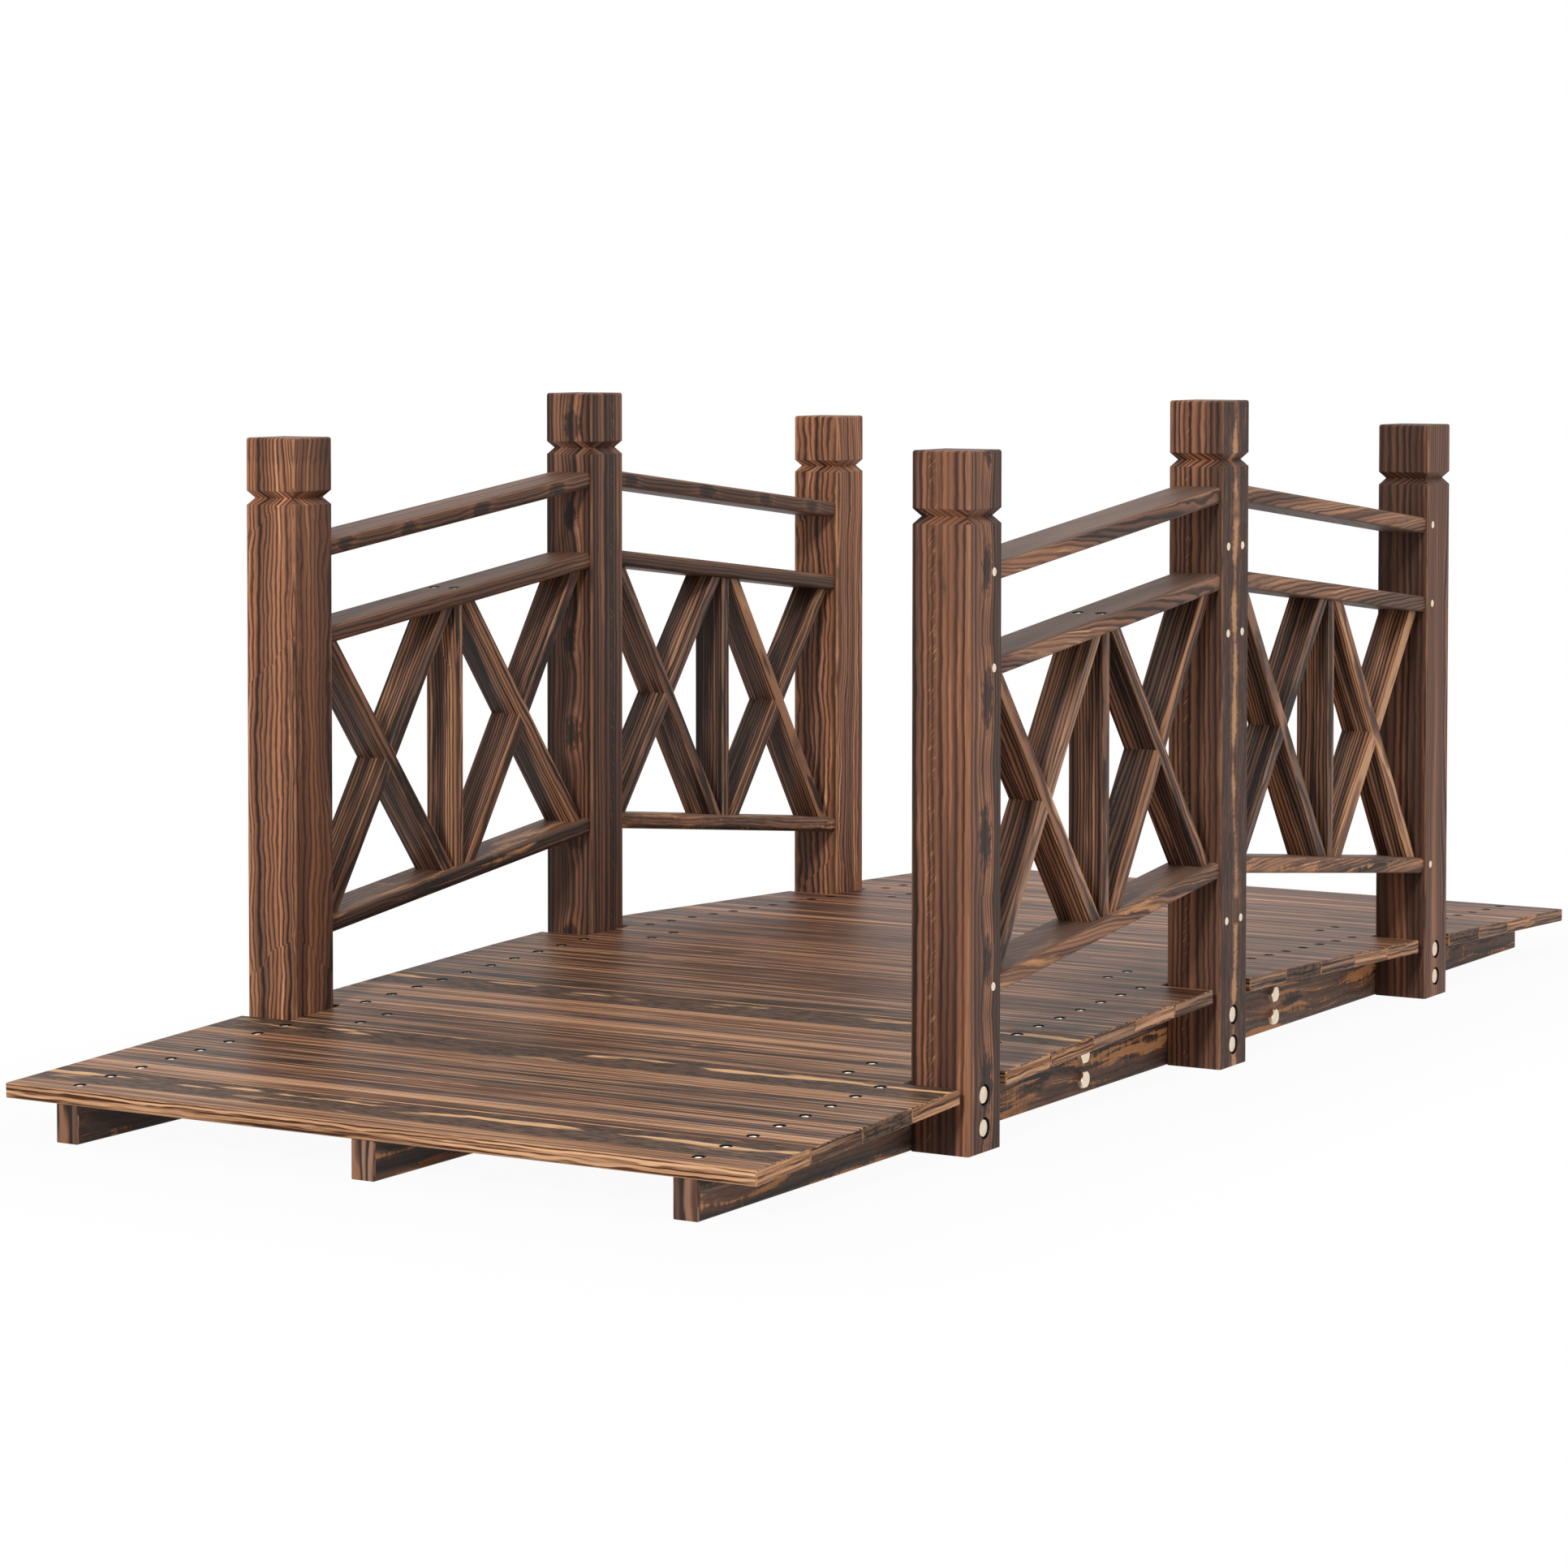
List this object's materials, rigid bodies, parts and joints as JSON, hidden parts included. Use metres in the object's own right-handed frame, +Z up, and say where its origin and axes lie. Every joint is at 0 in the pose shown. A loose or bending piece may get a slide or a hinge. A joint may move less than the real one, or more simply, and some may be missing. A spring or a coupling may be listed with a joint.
{
  "type": "wooden garden moon bridge",
  "caption": "Low arched wooden garden bridge: plank deck on flat-footed stringers, grooved square posts, sloping rails and crossed lattice railings.",
  "frame": {"origin": "on the ground, under the middle of the deck", "axes": "+X along the walk, +Y across it to the left of someone walking along +X, +Z up"},
  "size_m": [1.5124, 0.6598, 0.546],
  "materials": {
    "deck_wood": "charred and oiled fir, satin",
    "post_wood": "charred and oiled fir, satin",
    "rail_wood": "charred and oiled fir, satin",
    "lattice_wood": "charred and oiled fir, satin",
    "fastener_steel": "zinc-plated bolts, pins and screws",
    "frame_wood": "charred and oiled fir, satin"
  },
  "bodies": {
    "root": {"brace_far": "frame_wood", "brace_middle": "frame_wood", "brace_near": "frame_wood", "lattice_left_far": "lattice_wood", "lattice_left_near": "lattice_wood", "lattice_right_far": "lattice_wood", "lattice_right_near": "lattice_wood", "plank_01": "deck_wood", "plank_02": "deck_wood", "plank_03": "deck_wood", "plank_04": "deck_wood", "plank_05": "deck_wood", "plank_06": "deck_wood", "plank_07": "deck_wood", "plank_08": "deck_wood", "plank_09": "deck_wood", "plank_10": "deck_wood", "plank_11": "deck_wood", "plank_12": "deck_wood", "plank_13": "deck_wood", "plank_14": "deck_wood", "plank_15": "deck_wood", "plank_16": "deck_wood", "plank_17": "deck_wood", "plank_18": "deck_wood", "plank_19": "deck_wood", "plank_20": "deck_wood", "plank_21": "deck_wood", "post_left_far": "post_wood", "post_left_middle": "post_wood", "post_left_near": "post_wood", "post_right_far": "post_wood", "post_right_middle": "post_wood", "post_right_near": "post_wood", "rail_bottom_left": "rail_wood", "rail_bottom_right": "rail_wood", "rail_second_left": "rail_wood", "rail_second_right": "rail_wood", "rail_top_left": "rail_wood", "rail_top_right": "rail_wood", "splice_left": "frame_wood", "splice_middle": "frame_wood", "splice_right": "frame_wood", "stringer_left": "frame_wood", "stringer_middle": "frame_wood", "stringer_right": "frame_wood"}
  },
  "joints": []
}
